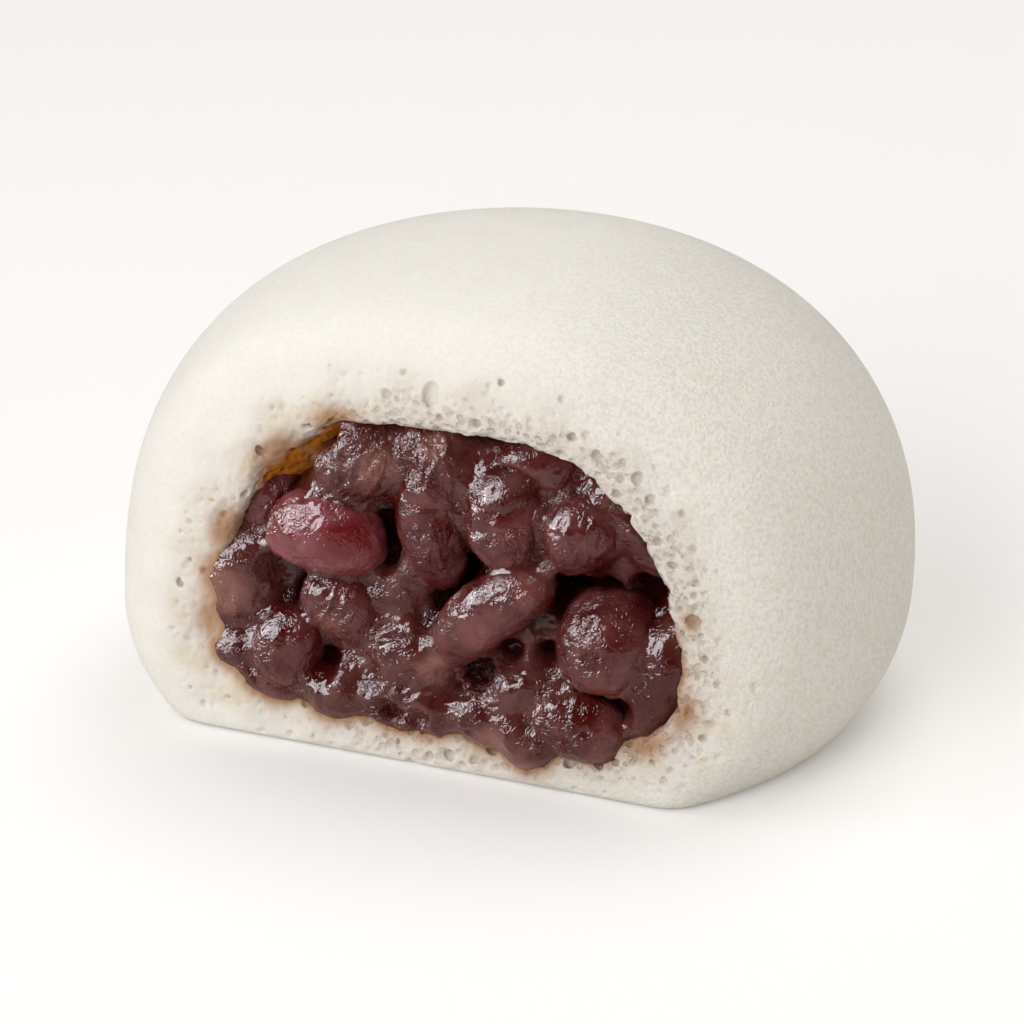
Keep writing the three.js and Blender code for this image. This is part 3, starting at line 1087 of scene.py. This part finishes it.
def crumbColour(material, place, lip, shadedPits):
    creamPatches = between(material, noiseOf(material, place, doughLook["creamSize"], 1), 0.42, 0.62)
    creamShare = product(material, creamPatches, kept(material, "cream"))
    crumb = mixed(material, creamShare, doughLook["crumb"], doughLook["crumbCream"])
    poreShade, stain = kept(material, "poreShade"), kept(material, "stain")
    crumb = mixed(material, between(material, lip, 0.0, 1.0, 0, 0.35), crumb, doughLook["byLip"])
    # painted shade: the crumb darkens inside its pits
    crumb = mixed(material, between(material, shadedPits, 0.0, 1.0, 0, 0.55), crumb, doughLook["shadedPits"])
    # painted shade in the pores
    crumb = mixed(material, between(material, poreShade, 0.1, 1.0, 0, 0.8), crumb, doughLook["shadedPores"])
    crumb = mixed(material, between(material, stain, 0.0, 1.0, 0, 0.92), crumb, doughLook["stain"])
    return mixed(material, kept(material, "soaked"), crumb, doughLook["soaked"])


def doughMaterial():
    material = newMaterial("steamedDough")
    place = node(material, "TexCoord").outputs["Object"]
    torn, lip, dry = kept(material, "torn"), kept(material, "lip"), kept(material, "dry")
    shadedPits = foamPits(material, place, torn, lip)
    fibres = noiseOf(material, place, doughLook["fibreSize"], 2)
    grain = noiseOf(material, place, doughLook["grainSize"], 2)
    rough = between(material, dry, 0, 1, 0.25, 1.0)
    pitNormal = bumped(material, shadedPits, 1.0, 0.16, invert=True)
    fibreNormal = bumped(material, fibres, rough, 0.18, pitNormal)
    skin, crumb = skinColour(material, place, dry), crumbColour(material, place, lip, shadedPits)
    fill(material, shader(material), {
        "Base Color": mixed(material, torn, skin, crumb),
        "Roughness": between(material, fibres, 0.3, 0.7, 0.5, 0.66),
        "IOR": 1.38,
        "Specular IOR Level": 0.12,
        "Subsurface Weight": 0.35,
        "Subsurface Radius": (1.0, 0.8, 0.55),
        "Subsurface Scale": between(material, torn, 0, 1, 0.9 * mm, 0.35 * mm),
        "Normal": bumped(material, grain, rough, 0.07, fibreNormal),
    })
    return material


# the wet coat: sizes of its relief and how high it stands, in millimetres
coatRelief = {
    "plates": (0.62, 0.025),
    "swells": (0.8, 0.06),
    "folds": (0.48, 0.065),
    "sparkle": (0.22, 0.02),
}


def wetColour(material, place, clouds, veil, body, deep, pale):
    patches = noiseOf(material, place, 3.2, 2)
    bare, ruby, hollow, gap = [kept(material, name) for name in ("pale", "ruby", "hollow", "gap")]
    colour = mixed(material, between(material, clouds, 0.32, 0.68), body, veil)
    colour = mixed(material, between(material, patches, 0.48, 0.72, 0, 0.65), colour, deep)
    colour = mixed(material, between(material, bare, 0.25, 0.9, 0, 0.75), colour, pale)
    colour = mixed(material, between(material, ruby, 0.3, 0.8, 0, 0.9), colour, deep)
    # painted shade: sunk hollows are darkened toward the deep red
    colour = mixed(material, between(material, hollow, 0.25, 0.9, 0, 0.8), colour, deep)
    # painted shade: points sunk behind the filling's front between the beans turn near black
    return mixed(material, between(material, gap, 0.0, 1.0, 0, 0.95), colour, gapShadeLook["colour"])


def wetNormals(material, place):
    # plates of skin, soft swells, thin folds and a fine sparkle, one upon the other
    bent = pushedAbout(material, place, 1.1, 0.9)
    plateSize, plateHeight = coatRelief["plates"]
    swellSize, swellHeight = coatRelief["swells"]
    foldSize, foldHeight = coatRelief["folds"]
    sparkleSize, sparkleHeight = coatRelief["sparkle"]
    cellInputs = {"Vector": bent, "Scale": 1 / (plateSize * mm)}
    cells = node(material, "TexVoronoi", cellInputs, feature="DISTANCE_TO_EDGE")
    plates = between(material, cells.outputs["Distance"], 0.0, 0.13)
    swells = noiseOf(material, place, swellSize, 1.0)
    ridges = reckoned(material, "SUBTRACT", noiseOf(material, bent, foldSize, 1.0), 0.5)
    ridges = reckoned(material, "ABSOLUTE", ridges)
    folds = between(material, ridges, 0, 0.2, 1, 0)
    sparkle = noiseOf(material, place, sparkleSize, 1.0)
    patches = between(material, noiseOf(material, place, 2.0, 1), 0.38, 0.6, 0.2, 0.8)
    wrinkled = reckoned(material, "MAXIMUM", patches, between(material, kept(material, "crinkled"), 0.2, 0.7))
    plateNormal = bumped(material, plates, wrinkled, plateHeight)
    swellNormal = bumped(material, swells, 0.9, swellHeight, plateNormal)
    foldNormal = bumped(material, folds, wrinkled, foldHeight, swellNormal)
    return foldNormal, bumped(material, sparkle, wrinkled, sparkleHeight, foldNormal)


def wetMaterial(name, veil, body, deep, pale):
    # cooked bean: a greyish veil over a red-brown body, with deep red where light gets through; the same deep
    # red is painted as shade in sunk hollows, and the gaps between beans get painted near-black shade
    material = newMaterial(name)
    place = node(material, "TexCoord").outputs["Object"]
    clouds = noiseOf(material, place, 2.2, 3)
    bodyNormal, coatNormal = wetNormals(material, place)
    fill(material, shader(material), {
        "Base Color": wetColour(material, place, clouds, veil, body, deep, pale),
        "Roughness": between(material, clouds, 0.3, 0.7, 0.42, 0.6),
        "Specular IOR Level": 0.0,
        "Subsurface Weight": 0.5,
        "Subsurface Radius": (1.0, 0.22, 0.18),
        "Subsurface Scale": 0.9 * mm,
        "Coat Weight": 1.0,
        "Coat Roughness": 0.05,
        "Coat IOR": 1.52,
        "Coat Normal": coatNormal,
        "Normal": bodyNormal,
    })
    return material


def floorMaterial():
    # the floor throws back less light than it shows
    material = newMaterial("paleFloor")
    seen = node(material, "LightPath").outputs["Is Camera Ray"]
    place = node(material, "TexCoord").outputs["Object"]
    away = node(material, "VectorMath", {0: place}, operation="LENGTH").outputs["Value"]
    glow = product(material, seen, between(material, away, *floorLook["glowFrom"], *floorLook["glow"]))
    fill(material, shader(material), {
        "Base Color": mixed(material, seen, floorLook["bounce"], floorLook["colour"]),
        "Roughness": 0.9,
        "Specular IOR Level": 0.0,
        "Emission Color": (1, 1, 1, 1),
        "Emission Strength": glow,
    })
    return material


def addFloor():
    bpy.ops.object.select_all(action="DESELECT")
    bpy.ops.mesh.primitive_plane_add(size=floorLook["size"])
    floor = bpy.context.object
    floor.name = "floor"
    floor.data.materials.append(floorMaterial())


pinkBean = {
    "veil": (0.24, 0.068, 0.080, 1),
    "body": (0.19, 0.038, 0.046, 1),
    "deep": (0.14, 0.006, 0.008, 1),
    "pale": (0.26, 0.080, 0.090, 1),
}
plainBean = {
    "veil": (0.145, 0.040, 0.039, 1),
    "body": (0.085, 0.0125, 0.012, 1),
    "deep": (0.072, 0.004, 0.003, 1),
    "pale": (0.200, 0.060, 0.056, 1),
}
pasteColours = {
    "veil": (0.130, 0.039, 0.036, 1),
    "body": (0.078, 0.0135, 0.011, 1),
    "deep": (0.065, 0.004, 0.003, 1),
    "pale": (0.29, 0.122, 0.100, 1),
}
beanColours = {"bean_02": pinkBean}


def dressAll(pieces):
    finishes = {"dough_torn": doughMaterial(), "bean_paste_chunky": wetMaterial("beanPaste", **pasteColours)}
    for nodeName in beanNodes:
        colours = beanColours.get(nodeName, plainBean)
        finishes[nodeName + "_whole"] = wetMaterial("skin_" + nodeName, **colours)
    for name, finish in finishes.items():
        pieces[name].data.materials.clear()
        pieces[name].data.materials.append(finish)


addCamera(viewpoint)
addLamps()
addFloor()
bpy.context.scene.view_settings.view_transform = "Standard"
print("camera, lamps and floor ready")

paste = makePaste()
pieces = {paste.name: paste}
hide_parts("bean_paste")
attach(paste, "root")
print("paste ready")

for nodeName in beanNodes:
    bean = makeBean(nodeName)
    pieces[bean.name] = bean
    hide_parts(nodeName)
    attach(bean, "root")
markGapShade(list(pieces.values()))
print("beans ready")

dough = makeDough()
stainDough(dough, paste)
pieces[dough.name] = dough
dressAll(pieces)
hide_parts("dough")
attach(dough, "root")
print("dough ready")
